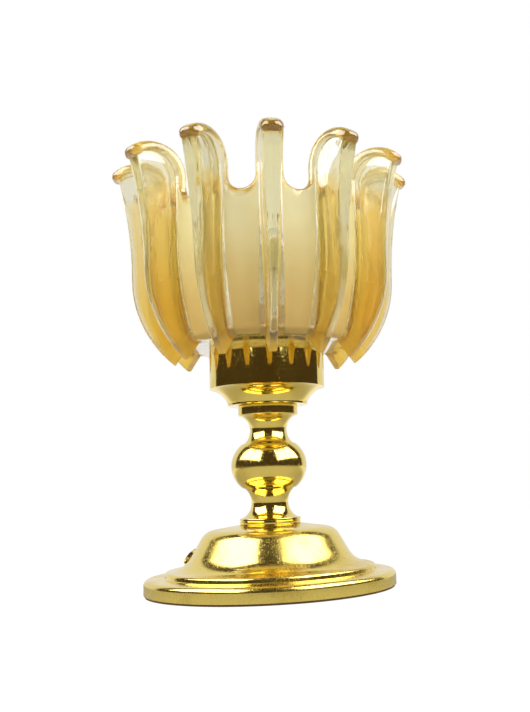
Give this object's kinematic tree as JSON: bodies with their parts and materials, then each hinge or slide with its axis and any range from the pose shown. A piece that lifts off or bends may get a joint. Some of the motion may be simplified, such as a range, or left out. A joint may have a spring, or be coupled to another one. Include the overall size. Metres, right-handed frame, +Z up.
{
  "type": "table lamp",
  "caption": "Table lamp with a turned brass stand, a weighted round foot and a pressed glass bowl shade with radial fins that curl out into petals.",
  "frame": {"origin": "on the lamp's axis, at the underside of the foot pad, where the lamp stands on its table", "axes": "+Z up along the stem; -Y faces the front, with one fin of the shade a few degrees to its right; +X to the right"},
  "size_m": [0.189, 0.189, 0.2663],
  "materials": {
    "polished_brass": "polished and lacquered",
    "aged_brass": "satin, a little darkened",
    "amber_glass": "pressed and fire-polished, satin between the fins",
    "ballast": "as cast",
    "pad": "felt",
    "plated_steel": "zinc plated",
    "porcelain": "glazed",
    "bulb_metal": "rolled",
    "black_glass": "glossy",
    "opal_glass": "blown, softly frosted",
    "wire": "drawn wire"
  },
  "bodies": {
    "base": {"foot_shell": "polished_brass", "foot_pad": "pad", "foot_weight": "ballast", "cord_bushing": "aged_brass", "bushing_nut": "plated_steel", "threaded_tube": "plated_steel", "bottom_washer": "plated_steel", "bottom_nut": "plated_steel", "lower_spool": "polished_brass", "stem_ball": "polished_brass", "upper_spool": "polished_brass", "shade_cup": "polished_brass", "cup_washer": "plated_steel", "cup_nut": "plated_steel", "lampholder_cap": "aged_brass", "lampholder_skirt": "aged_brass", "lampholder_insulator": "porcelain", "screw_shell": "aged_brass", "centre_contact": "aged_brass", "side_contact": "aged_brass", "terminal_screws": "plated_steel"},
    "shade": {"glass_shade": "amber_glass"},
    "ring": {"shade_ring": "aged_brass"},
    "bulb": {"bulb_cap": "bulb_metal", "bulb_insulator": "black_glass", "bulb_contact": "bulb_metal", "bulb_globe": "opal_glass", "bulb_stem": "opal_glass", "filament": "wire"}
  },
  "joints": [
    {"name": "shade_lift", "type": "slide", "parent": "base", "child": "shade", "axis": [0, 0, 1], "range_m": [0, 0.06]},
    {"name": "ring_unscrew", "type": "slide", "parent": "shade", "child": "ring", "axis": [0, 0, 1], "range_m": [0, 0.03]},
    {"name": "bulb_unscrew", "type": "slide", "parent": "ring", "child": "bulb", "axis": [0, 0, 1], "range_m": [0, 0.115]}
  ]
}
